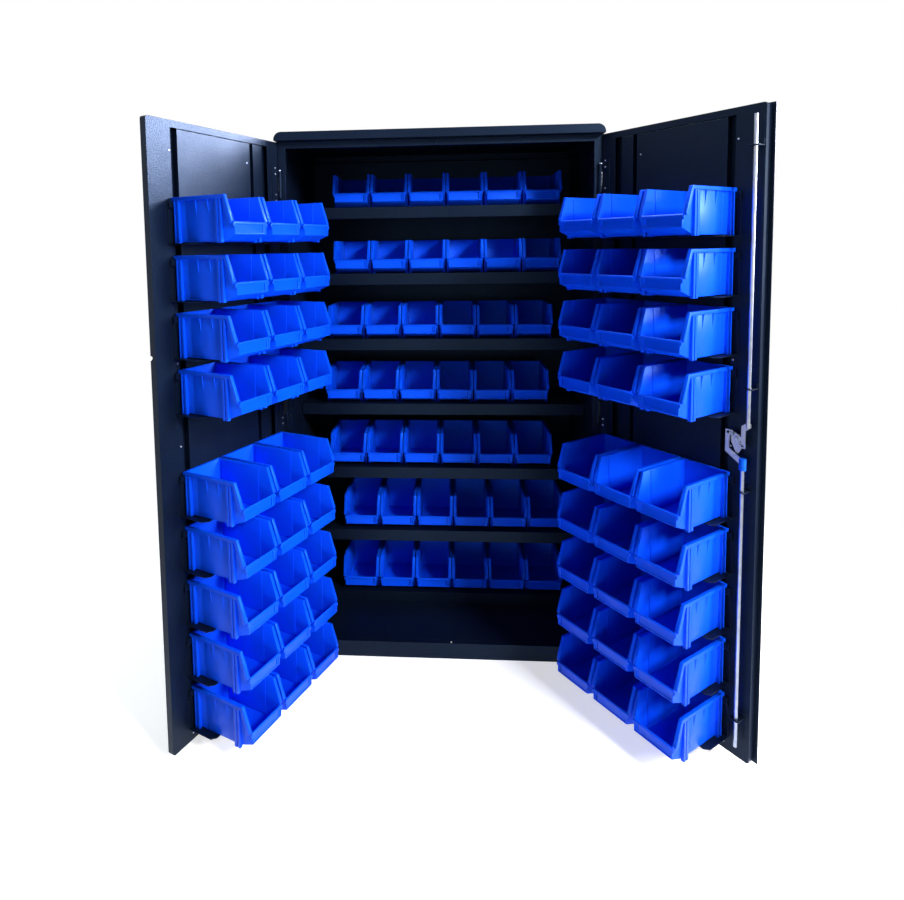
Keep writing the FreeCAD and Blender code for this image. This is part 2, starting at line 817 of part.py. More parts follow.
def rod_guides():
    """Bent straps on the free lip that the rods slide through."""
    guides = []
    half = guide_width / 2
    for rod_u, heights in ((lower_rod_u, lower_guide_heights), (upper_rod_u, upper_guide_heights)):
        for z in heights:
            foot = block(rod_u - half, rod_u + half, door_lip, door_lip + guide_sheet, z, z + guide_foot)
            ear = block(rod_u - half, rod_u + half, door_lip, rod_v + rod_radius + guide_cap, z, z + guide_sheet)
            bore = rod(rod_radius + guide_bore_gap, rod_u, rod_v, z - overrun, z + guide_sheet + overrun)
            guides.append(joined([foot, ear]).cut(bore))
    return guides


def closing_strip():
    """The flat strip outside the right door's free edge, which laps over the left door."""
    face = door_outer
    u0 = door_free_edge + strip_past_edge - strip_width
    fixed = block(u0, door_free_edge, face - strip_sheet, face, door_bottom, door_top)
    lap = block(door_free_edge, door_free_edge + strip_past_edge, face - strip_sheet, face - strip_gap,
                door_bottom, door_top)
    return joined([fixed, lap])


# Putting the doors in place

def on_left(shapes):
    """Move shapes from the door's frame to the left door where it rests."""
    placed = []
    for shape in shapes:
        copy = shape.copy()
        copy.rotate(Vector(0, 0, 0), Vector(0, 0, 1), -left_door_open)
        copy.translate(Vector(-hinge_x, hinge_y, 0))
        placed.append(copy)
    return placed


def on_right(shapes):
    """Move shapes from the door's frame to the right door where it rests."""
    placed = []
    for shape in shapes:
        copy = mirrored(shape)
        copy.rotate(Vector(0, 0, 0), Vector(0, 0, 1), right_door_open)
        copy.translate(Vector(hinge_x, hinge_y, 0))
        placed.append(copy)
    return placed


def on_frame(shapes):
    """Place hinge pieces drawn round the axis on both sides of the cabinet."""
    placed = []
    for shape in shapes:
        left = shape.copy()
        left.translate(Vector(-hinge_x, hinge_y, 0))
        placed += [left, mirrored(left)]
    return placed


def build_body():
    """Everything that stands still."""
    left_side = side_panel()
    save("left_side_panel", [left_side])
    save("right_side_panel", [mirrored(left_side)])
    save("back_panel", [back_panel()])
    save("roof_cap", [roof_cap()])
    save("top_jamb", [top_jamb()])
    save("sill", [sill()])
    save("floor_panel", [floor_panel()])
    save("floor_runners", floor_runners())
    for k, top in enumerate(shelf_tops):
        save("shelf_%d" % (k + 1), [shelf(top)])
    save("shelf_clips", shelf_clips())
    save("hinge_frame_leaves", on_frame([frame_leaf(z) for z in hinge_heights]))
    save("hinge_pins", on_frame([hinge_pin(z) for z in hinge_heights]))


def build_doors():
    """Both doors with their liners, rails and hinge leaves, and the lock on the right one."""
    skin = door_skin()
    rails = [bin_rail(base) for base in row_bases]
    leaves = [door_leaf(z) for z in hinge_heights]
    liner = hat_section(liner_near_edge, door_free_edge - liner_from_free_edge)
    stiffener = hat_section(stiffener_near_edge, stiffener_far_edge)
    for side, place in (("left", on_left), ("right", on_right)):
        face = skin.cut(edge_notch()) if side == "left" else skin.cut(sleeve_hole())
        save(side + "_door_skin", place([face]))
        save(side + "_door_liners", place([liner, stiffener]))
        save(side + "_door_rails", place(rails))
        save(side + "_hinge_leaves", place(leaves))
    save("closing_strip", on_right([closing_strip()]))
    save("lock_plate", on_right([lock_plate()]))
    save("door_handle", on_right([door_handle()]))
    save("lock_cam", on_right([lock_cam()]))
    save("lower_lock_rod", on_right([lower_rod()]))
    save("lower_rod_cap", on_right([rod_cap()]))
    save("upper_lock_rod", on_right([upper_rod()]))
    save("rod_guides", on_right(rod_guides()))


def build_bins():
    """All the bins, a node to each row."""
    one_bin = make_bin()
    for k, top in enumerate(shelf_tops):
        shift = shelf_row_shifts[shelf_count - 1 - k]
        save("shelf_bins_%d" % (k + 1), shelf_row(one_bin, shift, top))
    for k, base in enumerate(row_bases):
        row = door_row(one_bin, base)
        save("left_bins_%d" % (k + 1), on_left(row))
        save("right_bins_%d" % (k + 1), on_right(row))


os.makedirs("parts", exist_ok=True)
build_body()
build_doors()
build_bins()
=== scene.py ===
import json
import math
import bmesh
import bpy
from mathutils import Matrix, Vector


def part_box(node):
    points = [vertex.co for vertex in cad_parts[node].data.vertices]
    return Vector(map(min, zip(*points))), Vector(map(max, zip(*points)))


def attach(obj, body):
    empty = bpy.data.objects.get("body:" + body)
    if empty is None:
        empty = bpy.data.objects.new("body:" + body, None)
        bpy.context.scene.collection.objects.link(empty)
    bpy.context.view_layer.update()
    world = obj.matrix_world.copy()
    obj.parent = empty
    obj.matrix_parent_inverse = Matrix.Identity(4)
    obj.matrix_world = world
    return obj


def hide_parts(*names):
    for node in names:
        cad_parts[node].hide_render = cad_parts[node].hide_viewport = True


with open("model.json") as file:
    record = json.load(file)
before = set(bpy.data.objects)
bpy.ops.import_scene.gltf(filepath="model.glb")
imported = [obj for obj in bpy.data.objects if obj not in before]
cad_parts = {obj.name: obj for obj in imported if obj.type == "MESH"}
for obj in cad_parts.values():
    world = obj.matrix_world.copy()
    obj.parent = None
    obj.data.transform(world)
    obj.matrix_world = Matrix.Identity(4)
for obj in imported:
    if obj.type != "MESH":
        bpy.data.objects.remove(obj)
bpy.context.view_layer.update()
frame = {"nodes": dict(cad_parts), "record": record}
nodes = frame["nodes"]
record = frame["record"]

# Sizes that the looks share with the solids, in metres
HINGE_X = 0.529
HINGE_Y = -0.290
HINGE_HEIGHTS = (1.660, 0.900, 0.140)
LEFT_OPEN = math.radians(114.1)
RIGHT_OPEN = math.radians(125.8)
FRONT_Y = -0.283
ROOF_UNDERSIDE = 1.802
DOOR_LIP = -0.006
DOOR_FAR_EDGE = 0.4595
HOOK_PLANE = -0.0035
BIN_WIDTH = 0.140
BIN_DEPTH = 0.220
LABEL_FACE = 0.219
LIP_TOP = 0.0508
SHELF_ROWS = 7
SHELF_COUNT = 6
SHELF_PITCH = 0.143
DOOR_ROWS = 9
DOOR_COUNT = 3
DOOR_PITCH = 0.146
CAM_U = 0.478
CAM_Z = 0.922
NUT_FACE = 0.013
PIN_FACE = 0.016
PIN_REACH = 0.020 * math.cos(math.radians(45))

# Details of a bin that only the looks have, in metres: spans are from y to y and from z to z, and depths are
# measured outward from the wall's face
LABEL_SINK = 0.0007
INNER_PANEL_SPAN = (0.020, 0.1635, 0.009, 0.1235)
INNER_PANEL_DEPTHS = (-0.0017, 0.0)
OUTER_PANEL_SPAN = (0.052, 0.159, 0.008, 0.1165)
OUTER_PANEL_DEPTHS = (-0.0006, 0.0012)
GROOVE_X = (0.0645, 0.0720)
GROOVE_Z = (-0.005, 0.1140)
GROOVE_Y = ((0.0125, 0.0185), (0.1690, 0.1722))
LABEL_SLOT_X = (-0.0496, -0.0472)
LABEL_SLOT_Z = (0.0250, 0.0462)
LABEL_SLOT_Y = 0.2140
LABEL_SLOT_DEPTH = 0.0080
EDGE_ROUNDING = 0.00055
SMOOTH_ANGLE = math.radians(35)

# Screw heads: the radius, the height and the depth of the cross recess, in metres
SCREW = (0.0042, 0.0020, 0.0010)
SMALL_SCREW = (0.0030, 0.0015, 0.0008)
PIN_HEAD = (0.0029, 0.0014, 0.0007)
# The dome of a screw head, as shares of its radius and its height
SCREW_DOME = ((1, 0), (1, 0.35), (0.86, 0.75), (0.62, 0.95), (0.45, 1), (0.3, 1))
SCREW_STEPS = 24

# Places of the screws, in metres: from the hinge line, and above or below a hinge's middle
FRAME_LEAF_INSET = 0.0105
FRAME_LEAF_THICKNESS = 0.001
FRAME_LEAF_HEIGHTS = (-0.030, 0.030)
DOOR_LEAF_U = 0.0165
DOOR_LEAF_THICKNESS = 0.002
DOOR_LEAF_HEIGHTS = (-0.054, -0.034, 0.034, 0.054)
JAMB_SCREW = (-0.006, FRONT_Y, 1.790)
LIP_SCREWS = ((0.4545, 1.717), (0.150, 1.716), (0.4545, 0.893), (0.4545, 0.040), (0.150, 0.060),
              (0.4545, 1.130))

# Floor and room
FLOOR_REACH = 60.0
FLOOR_Z = -0.0005
FLOOR_GLOW = 0.6
FADE_START = 1.0
FADE_END = 2.4
ROOM_LEVEL = 0.08
ROOM_TINT = (0.80, 0.90, 1.0, 1.0)
WHITE = (1.0, 1.0, 1.0, 1.0)

# Lamps: the place and the aim, width and height in metres, power in watts, and colour
LAMPS = {
    "key": ((2.75, -3.35, 3.3), (-0.1, -0.3, 0.9), 0.7, 0.9, 260.0, (0.97, 0.98, 1.0)),
    "right": ((4.1, -1.75, 1.9), (0.0, -0.5, 0.9), 0.8, 1.0, 210.0, (0.97, 0.98, 1.0)),
    "fill": ((-2.4, -3.4, 1.6), (0.0, -0.4, 0.9), 2.0, 2.0, 5.0, (0.60, 0.82, 1.0)),
    "top": ((-0.1, 0.5, 4.6), (0.0, -0.6, 1.0), 1.6, 1.2, 140.0, (0.85, 0.94, 1.0)),
    "sheen": ((3.2, 1.0, 2.6), (-0.63, -0.52, 1.7), 2.2, 1.4, 1000.0, (0.93, 0.90, 1.0)),
}
SHEEN_PASSES_BY = ("back_panel", "left_side_panel", "right_side_panel", "roof_cap", "right_door_skin")

# Camera: the photograph's frame, focal length and optical middle in its pixels, and angles in radians
PHOTO_WIDTH = 904.0
PHOTO_HEIGHT = 900.0
FOCAL = 622.7
MIDDLE_X = 409.18
MIDDLE_Y = 293.17
YAW = 0.06846
PITCH = 0.07534
ROLL = 0.01404
CAMERA_PLACE = (0.0444, -2.3726, 1.4479)
SENSOR_WIDTH = 36.0


# Materials

def node_adder(tree):
    """A helper that adds a node with its inputs, each a socket to link or a plain value."""
    def add(kind, inputs=None, **settings):
        node = tree.nodes.new(kind)
        for key, value in settings.items():
            setattr(node, key, value)
        for key, value in (inputs or {}).items():
            if isinstance(value, bpy.types.NodeSocket):
                tree.links.new(value, node.inputs[key])
            else:
                node.inputs[key].default_value = value
        return node
    return add


def new_material(name):
    """An empty node material with its shader and helpers for adding and linking nodes."""
    material = bpy.data.materials.new(name)
    material.use_nodes = True
    tree = material.node_tree
    return material, tree.nodes["Principled BSDF"], node_adder(tree), tree.links.new


def ramp(add, source, stops):
    """A colour that a ramp with the given stops makes of a value."""
    node = add("ShaderNodeValToRGB", {"Fac": source})
    elements = node.color_ramp.elements
    while len(elements) < len(stops):
        elements.new(0.5)
    for element, (place, colour) in zip(elements, stops):
        element.position = place
        element.color = colour if len(colour) == 4 else (*colour, 1.0)
    return node.outputs["Color"]


def drift(add, noise, low, high):
    """A colour that drifts between two with a noise."""
    cloud = add("ShaderNodeTexNoise", noise)
    return ramp(add, cloud.outputs["Fac"], [(0.3, low), (0.7, high)])


def grey(value):
    return (value, value, value, 1.0)


def coat_material(name, low, high, rough_low, rough_high, peel, grain):
    """Dark powder coat: faint colour drift, patchy gloss, an orange-peel skin and soft folds, with a painted
    blue tint in its reflections that stands in for light bounced off the blue bins.
    """
    material, shader, add, link = new_material(name)
    place = add("ShaderNodeTexCoord").outputs["Object"]
    colour = drift(add, {"Vector": place, "Scale": 5.0, "Detail": 5.0, "Roughness": 0.6}, low, high)
    link(colour, shader.inputs["Base Color"])
    rough = drift(add, {"Vector": place, "Scale": 11.0, "Detail": 6.0}, grey(rough_low), grey(rough_high))
    link(rough, shader.inputs["Roughness"])
    coarse = add("ShaderNodeTexNoise", {"Vector": place, "Scale": peel, "Detail": 2.0})
    fine = add("ShaderNodeTexVoronoi", {"Vector": place, "Scale": grain})
    fold = add("ShaderNodeBevel", {"Radius": 0.0014}, samples=4)
    skin = add("ShaderNodeBump", {"Height": coarse.outputs["Fac"], "Normal": fold.outputs["Normal"],
                                  "Strength": 0.6, "Distance": 0.0008})
    bump = add("ShaderNodeBump", {"Height": fine.outputs["Distance"], "Normal": skin.outputs["Normal"],
                                  "Strength": 0.22, "Distance": 0.0004})
    link(bump.outputs["Normal"], shader.inputs["Normal"])
    shader.inputs["IOR"].default_value = 1.5
    shader.inputs["Specular IOR Level"].default_value = 0.25
    # Painted reflection: this blue tint stands in for blue light bounced off the bins; it is not a tint of
    # the paint itself.
    shader.inputs["Specular Tint"].default_value = (0.34, 0.58, 1.0, 1.0)
    return material


def plastic_material(name, low, high, rough_low, rough_high):
    """Moulded plastic: slight colour drift, satin patches, a fine spark-eroded grain and flow marks."""
    material, shader, add, link = new_material(name)
    place = add("ShaderNodeTexCoord").outputs["Object"]
    colour = drift(add, {"Vector": place, "Scale": 9.0, "Detail": 4.0}, low, high)
    link(colour, shader.inputs["Base Color"])
    rough = drift(add, {"Vector": place, "Scale": 26.0, "Detail": 5.0}, grey(rough_low), grey(rough_high))
    link(rough, shader.inputs["Roughness"])
    grain = add("ShaderNodeTexNoise", {"Vector": place, "Scale": 900.0, "Detail": 2.0})
    skin = add("ShaderNodeBump", {"Height": grain.outputs["Fac"], "Strength": 0.1, "Distance": 0.0002})
    flow = add("ShaderNodeTexNoise", {"Vector": place, "Scale": 14.0, "Detail": 2.0})
    bump = add("ShaderNodeBump", {"Height": flow.outputs["Fac"], "Normal": skin.outputs["Normal"],
                                  "Strength": 0.06, "Distance": 0.004})
    link(bump.outputs["Normal"], shader.inputs["Normal"])
    shader.inputs["IOR"].default_value = 1.46
    shader.inputs["Specular IOR Level"].default_value = 0.45
    shader.inputs["Specular Tint"].default_value = (0.10, 0.42, 1.0, 1.0)
    return material


def zinc_material(name):
    """Bright zinc plate: a brushed grain, faint yellow and blue passivation and dull patches."""
    material, shader, add, link = new_material(name)
    place = add("ShaderNodeTexCoord").outputs["Object"]
    cloud = add("ShaderNodeTexNoise", {"Vector": place, "Scale": 45.0, "Detail": 4.0})
    colour = ramp(add, cloud.outputs["Fac"], [(0.3, (0.27, 0.31, 0.42)), (0.55, (0.36, 0.40, 0.50)),
                                              (0.8, (0.42, 0.42, 0.42))])
    link(colour, shader.inputs["Base Color"])
    shader.inputs["Metallic"].default_value = 1.0
    stretch = add("ShaderNodeMapping", {"Vector": place, "Scale": (1400.0, 1400.0, 60.0)})
    brush = add("ShaderNodeTexNoise", {"Vector": stretch.outputs["Vector"], "Scale": 1.0, "Detail": 3.0})
    rough = ramp(add, brush.outputs["Fac"], [(0.3, grey(0.24)), (0.7, grey(0.42))])
    link(rough, shader.inputs["Roughness"])
    bump = add("ShaderNodeBump", {"Height": brush.outputs["Fac"], "Strength": 0.15, "Distance": 0.0002})
    link(bump.outputs["Normal"], shader.inputs["Normal"])
    return material


materials = {
    # Black paint whose navy tint is painted bounce light: the blue stands in for light bounced off the blue
    # bins onto it.
    "black_coat": coat_material("black_coat", low=(0.0020, 0.0044, 0.0120), high=(0.0036, 0.0070, 0.0180),
                                rough_low=0.37, rough_high=0.44, peel=260.0, grain=700.0),
    "handle_coat": coat_material("handle_coat", low=(0.014, 0.015, 0.018), high=(0.020, 0.021, 0.024),
                                 rough_low=0.26, rough_high=0.36, peel=300.0, grain=1100.0),
    "bin_plastic": plastic_material("bin_plastic", low=(0.001, 0.066, 0.82), high=(0.002, 0.082, 0.94),
                                    rough_low=0.34, rough_high=0.44),
    "cap_plastic": plastic_material("cap_plastic", low=(0.003, 0.075, 0.58), high=(0.005, 0.095, 0.66),
                                    rough_low=0.30, rough_high=0.42),
    "zinc_steel": zinc_material("zinc_steel"),
}
slot_of = {entry["node"]: entry["material_slot"] for entry in record["subparts"]}
for name, node in nodes.items():
    node.data.materials.clear()
    node.data.materials.append(materials[slot_of[name]])


# Placing

def placing(x_axis, y_axis, z_axis, origin):
    """A placing with the given axes and origin."""
    return Matrix([[x_axis[i], y_axis[i], z_axis[i], origin[i]] for i in range(3)] + [[0, 0, 0, 1]])


def door_point(side, u, v, z):
    """A point of a door at rest: u from its hinge line, v inward from its hinge plane, z up."""
    sign, angle = (-1, LEFT_OPEN) if side == "left" else (1, RIGHT_OPEN)
    c, s = math.cos(angle), math.sin(angle)
    return Vector((sign * (HINGE_X - u * c - v * s), HINGE_Y - u * s + v * c, z))


def door_matrix(side, u, v, z):
    """The placing of a piece drawn with u along x, v along y and z up, on the door at rest."""
    origin = door_point(side, u, v, z)
    across = door_point(side, u + 1, v, z) - origin
    inward = door_point(side, u, v + 1, z) - origin
    return placing(across, inward, Vector((0, 0, 1)), origin)


def facing(point, normal, spin):
    """A placing whose z axis points along the normal."""
    turn = Vector(normal).to_track_quat("Z", "Y").to_matrix().to_4x4()
    return Matrix.Translation(point) @ turn @ Matrix.Rotation(spin, 4, "Z")


# Meshes and pieces

def mesh_of(bm, name):
    """The mesh that a bmesh holds, which is then freed."""
    mesh = bpy.data.meshes.new(name)
    bm.to_mesh(mesh)
    bm.free()
    return mesh


def smoothed(mesh, angle):
    """The mesh with smooth shading except over edges sharper than the angle."""
    mesh.shade_smooth()
    mesh.set_sharp_from_angle(angle=angle)
    return mesh


def add_loft(bm, outlines):
    """A closed shape between two outlines of the same number of points."""
    first, second = [[bm.verts.new(p) for p in outline] for outline in outlines]
    faces = [bm.faces.new(first), bm.faces.new(list(reversed(second)))]
    for k in range(len(first)):
        n = (k + 1) % len(first)
        faces.append(bm.faces.new([first[n], first[k], second[k], second[n]]))
    bmesh.ops.recalc_face_normals(bm, faces=faces)


def add_prism(bm, outline, shift):
    """A closed prism from an outline to the same outline shifted."""
    add_loft(bm, [outline, [Vector(p) + Vector(shift) for p in outline]])


def modified(mesh, kind, **settings):
    """The mesh as one modifier leaves it."""
    thing = bpy.data.objects.new("shaping", mesh)
    bpy.context.scene.collection.objects.link(thing)
    modifier = thing.modifiers.new("shaping", kind)
    for key, value in settings.items():
        setattr(modifier, key, value)
    graph = bpy.context.evaluated_depsgraph_get()
    result = bpy.data.meshes.new_from_object(thing.evaluated_get(graph))
    bpy.data.objects.remove(thing)
    return result


def carved(mesh, cuts):
    """The mesh with closed shapes taken out of it."""
    tool = bpy.data.objects.new("carve_tool", cuts)
    bpy.context.scene.collection.objects.link(tool)
    result = modified(mesh, "BOOLEAN", operation="DIFFERENCE", solver="EXACT", object=tool)
    bpy.data.objects.remove(tool)
    return result


def softened(mesh, width):
    """The mesh with its sharp edges rounded, and smooth shading between them."""
    result = modified(mesh, "BEVEL", width=width, segments=2, limit_method="ANGLE",
                      angle_limit=math.radians(25), miter_outer="MITER_ARC")
    return smoothed(result, SMOOTH_ANGLE)


def joined_copies(mesh, places, name):
    """One mesh made of copies of another, each at its own place."""
    bm = bmesh.new()
    for place in places:
        before = len(bm.verts)
        bm.from_mesh(mesh)
        bm.verts.ensure_lookup_table()
        bmesh.ops.transform(bm, matrix=place, verts=bm.verts[before:])
    return smoothed(mesh_of(bm, name), SMOOTH_ANGLE)


def new_object(name, mesh, body, slot, matrix=None, replaced=()):
    """A piece of the visual model, with its body and its slot."""
    thing = bpy.data.objects.new(name, mesh)
    bpy.context.scene.collection.objects.link(thing)
    if matrix is not None:
        thing.matrix_world = matrix
    if not mesh.materials:
        mesh.materials.append(materials[slot])
    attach(thing, body)
    if replaced:
        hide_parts(*replaced)
    return thing


# The bins

def one_solid(node):
    """The solid of a row that stands furthest to -X, as a clean mesh."""
    whole = bmesh.new()
    whole.from_mesh(nodes[node].data)
    bmesh.ops.remove_doubles(whole, verts=whole.verts, dist=1e-6)
    start = min(whole.verts, key=lambda v: v.co.x)
    seen = {start}
    queue = [start]
    while queue:
        for edge in queue.pop().link_edges:
            for vert in edge.verts:
                if vert not in seen:
                    seen.add(vert)
                    queue.append(vert)
    bmesh.ops.delete(whole, geom=[v for v in whole.verts if v not in seen], context="VERTS")
    return whole


def shelf_bin_place(node):
    """The middle of the first bin's back edge on a shelf, which is the origin of the bin's own frame."""
    low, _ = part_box(node)
    return Vector((low.x + BIN_WIDTH / 2, low.y + BIN_DEPTH, low.z))


def bin_mesh():
    """The solid bin in its own frame: x across, y forward from the hook, z up."""
    bm = one_solid("shelf_bins_1")
    centre = shelf_bin_place("shelf_bins_1")
    for vert in bm.verts:
        local = vert.co - centre
        vert.co = Vector((-local.x, -local.y, local.z))
    for vert in bm.verts:
        if abs(vert.co.y - LABEL_FACE) < 1e-5 and vert.co.z < LIP_TOP:
            vert.co.y -= LABEL_SINK
    bmesh.ops.dissolve_limit(bm, angle_limit=math.radians(1), verts=bm.verts, edges=bm.edges)
    return mesh_of(bm, "bin_solid")


def bin_cuts():
    """The grooves that split each corner post into two upright ribs, and the label's slot in the lip."""
    bm = bmesh.new()
    z0, z1 = GROOVE_Z
    for side in (-1, 1):
        inner, outer = side * GROOVE_X[0], side * GROOVE_X[1]
        for y0, y1 in GROOVE_Y:
            add_prism(bm, [(inner, y0, z0), (inner, y1, z0), (inner, y1, z1), (inner, y0, z1)],
                      (outer - inner, 0, 0))
    (x0, x1), (z0, z1) = LABEL_SLOT_X, LABEL_SLOT_Z
    add_prism(bm, [(x0, LABEL_SLOT_Y, z0), (x1, LABEL_SLOT_Y, z0), (x1, LABEL_SLOT_Y, z1),
                   (x0, LABEL_SLOT_Y, z1)], (0, LABEL_SLOT_DEPTH, 0))
    return mesh_of(bm, "bin_cuts")


def wall_inner(z):
    """Half the clear width between the side walls at a height."""
    return 0.0575 + 0.0031 * z / 0.130


def wall_outer(z):
    """Half the width over the side walls at a height."""
    return 0.060 + 0.003 * z / 0.125


def add_wall_panel(bm, side, span, half, depths):
    """A thin raised panel that follows a side wall's draft."""
    y0, y1, z0, z1 = span
    outlines = []
    for depth in depths:
        low, high = side * (half(z0) + depth), side * (half(z1) + depth)
        outlines.append([(low, y0, z0), (low, y1, z0), (high, y1, z1), (high, y0, z1)])
    add_loft(bm, outlines)


def with_panels(mesh):
    """The bin with the raised panels of its side walls, inside and outside."""
    bm = bmesh.new()
    bm.from_mesh(mesh)
    for side in (-1, 1):
        add_wall_panel(bm, side, INNER_PANEL_SPAN, wall_inner, INNER_PANEL_DEPTHS)
        add_wall_panel(bm, side, OUTER_PANEL_SPAN, wall_outer, OUTER_PANEL_DEPTHS)
    return mesh_of(bm, "bin_shape")


def mirrored(mesh, name):
    """The mesh mirrored across x, with its faces still outward."""
    result = joined_copies(mesh, [MIRROR], name)
    bm = bmesh.new()
    bm.from_mesh(result)
    bmesh.ops.reverse_faces(bm, faces=bm.faces)
    bm.to_mesh(result)
    bm.free()
    return result


MIRROR = Matrix.Scale(-1, 4, (1, 0, 0))
TURNED = Matrix.Rotation(math.pi, 4, "Z")
bin_shape = softened(with_panels(carved(bin_mesh(), bin_cuts())), EDGE_ROUNDING)
shelf_row = joined_copies(bin_shape, [Matrix.Translation((SHELF_PITCH * k, 0, 0)) @ TURNED
                                      for k in range(SHELF_COUNT)], "shelf_row")
door_row = joined_copies(bin_shape, [Matrix.Translation((DOOR_FAR_EDGE - (k + 0.5) * DOOR_PITCH, 0, 0))
                                     for k in range(DOOR_COUNT)], "door_row")
mirror_row = mirrored(door_row, "mirror_row")

for k in range(1, SHELF_ROWS + 1):
    node = "shelf_bins_%d" % k
    new_object("shelf_row_%d_bins" % k, shelf_row, "shelf_row_%d" % k, "bin_plastic",
               Matrix.Translation(shelf_bin_place(node)), [node])
for side, row in (("left", door_row), ("right", mirror_row)):
    for k in range(1, DOOR_ROWS + 1):
        node = "%s_bins_%d" % (side, k)
        place = door_matrix(side, 0, HOOK_PLANE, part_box(node)[0].z)
        if side == "right":
            place = place @ MIRROR
        new_object("%s_row_%d_bins" % (side, k), row, "%s_row_%d" % (side, k), "bin_plastic", place, [node])


# Screw heads and the seam behind the roof

def lathe(profile, steps):
    """A turned shape from (radius, height) points, standing on z = 0 and open at its top."""
    bm = bmesh.new()
    rings = []
    for radius, height in profile:
        rings.append([bm.verts.new((radius * math.cos(2 * math.pi * k / steps),
                                    radius * math.sin(2 * math.pi * k / steps), height))
                      for k in range(steps)])
    for lower, upper in zip(rings, rings[1:]):
        for k in range(steps):
            n = (k + 1) % steps
            bm.faces.new([lower[k], lower[n], upper[n], upper[k]])
    bm.faces.new(list(reversed(rings[0])))
    return bm


def screw_mesh(name, radius, height, recess):
    """A domed screw head with a cross recess cut into it."""
    bm = lathe([(radius * a, height * b) for a, b in SCREW_DOME], SCREW_STEPS)
    rim = [v for v in bm.verts if abs(v.co.z - height) < 1e-7 and v.co.xy.length < radius * 0.4]
    rim.sort(key=lambda v: math.atan2(v.co.y, v.co.x))
    star = []
    for k, vert in enumerate(rim):
        reach = radius * (0.3 if k % 6 in (0, 1, 5) else 0.14)
        angle = math.atan2(vert.co.y, vert.co.x)
        star.append(bm.verts.new((reach * math.cos(angle), reach * math.sin(angle), height - recess)))
    for k in range(len(rim)):
        n = (k + 1) % len(rim)
        bm.faces.new([rim[k], rim[n], star[n], star[k]])
    bm.faces.new(star)
    bmesh.ops.recalc_face_normals(bm, faces=bm.faces)
    return smoothed(mesh_of(bm, name), math.radians(40))


def screw_group(name, mesh, places, body, slot):
    """Several screw heads on one body, as one piece."""
    group = joined_copies(mesh, places, name)
    group.materials.clear()
    return new_object(name, group, body, slot)


def back_seam():
    """A strip that closes the line between the back panel's top and the roof."""
    low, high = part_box("back_panel")
    bm = bmesh.new()
    add_prism(bm, [(low.x, low.y, high.z), (high.x, low.y, high.z), (high.x, high.y, high.z),
                   (low.x, high.y, high.z)], (0, 0, ROOF_UNDERSIDE - high.z))
    new_object("back_seam", mesh_of(bm, "back_seam"), "frame", "black_coat")


screw = screw_mesh("screw_head", *SCREW)
small_screw = screw_mesh("small_screw_head", *SMALL_SCREW)
pin_head = screw_mesh("pin_head", *PIN_HEAD)

places = [facing((x_side * (HINGE_X - FRAME_LEAF_INSET), FRONT_Y - FRAME_LEAF_THICKNESS, z + dz),
                 (0, -1, 0), 0.4)
          for x_side in (-1, 1) for z in HINGE_HEIGHTS for dz in FRAME_LEAF_HEIGHTS]
screw_group("frame_leaf_screws", small_screw, places, "frame", "black_coat")
back_seam()
screw_group("jamb_screw", screw, [facing(JAMB_SCREW, (0, -1, 0), 0.3)], "frame", "black_coat")

lock = door_matrix("right", 0, 0, 0)
inward = lock.to_3x3() @ Vector((0, 1, 0))
places = [facing(lock @ Vector(point), inward, 0.5)
          for point in ((CAM_U, NUT_FACE, CAM_Z), (CAM_U - PIN_REACH, PIN_FACE, CAM_Z + PIN_REACH),
                        (CAM_U + PIN_REACH, PIN_FACE, CAM_Z - PIN_REACH))]
screw_group("cam_heads", pin_head, places, "handle", "zinc_steel")

for side in ("left", "right"):
    base = door_matrix(side, 0, 0, 0)
    inward = base.to_3x3() @ Vector((0, 1, 0))
    places = [facing(base @ Vector((DOOR_LEAF_U, DOOR_LIP + DOOR_LEAF_THICKNESS, z + dz)), inward, 0.7)
              for z in HINGE_HEIGHTS for dz in DOOR_LEAF_HEIGHTS]
    screw_group(side + "_leaf_screws", small_screw, places, side + "_door", "zinc_steel")
    places = [facing(base @ Vector((u, DOOR_LIP, z)), inward, 0.2) for u, z in LIP_SCREWS]
    screw_group(side + "_lip_screws", small_screw, places, side + "_door", "zinc_steel")


# Floor, light and camera

def direct_rays(add):
    """1 for rays from the camera, from a mirror and through glass, which see the background as white."""
    rays = add("ShaderNodeLightPath")
    seen = rays.outputs["Is Camera Ray"]
    for name in ("Is Glossy Ray", "Is Transmission Ray"):
        seen = add("ShaderNodeMath", {0: seen, 1: rays.outputs[name]}, operation="MAXIMUM").outputs["Value"]
    return seen


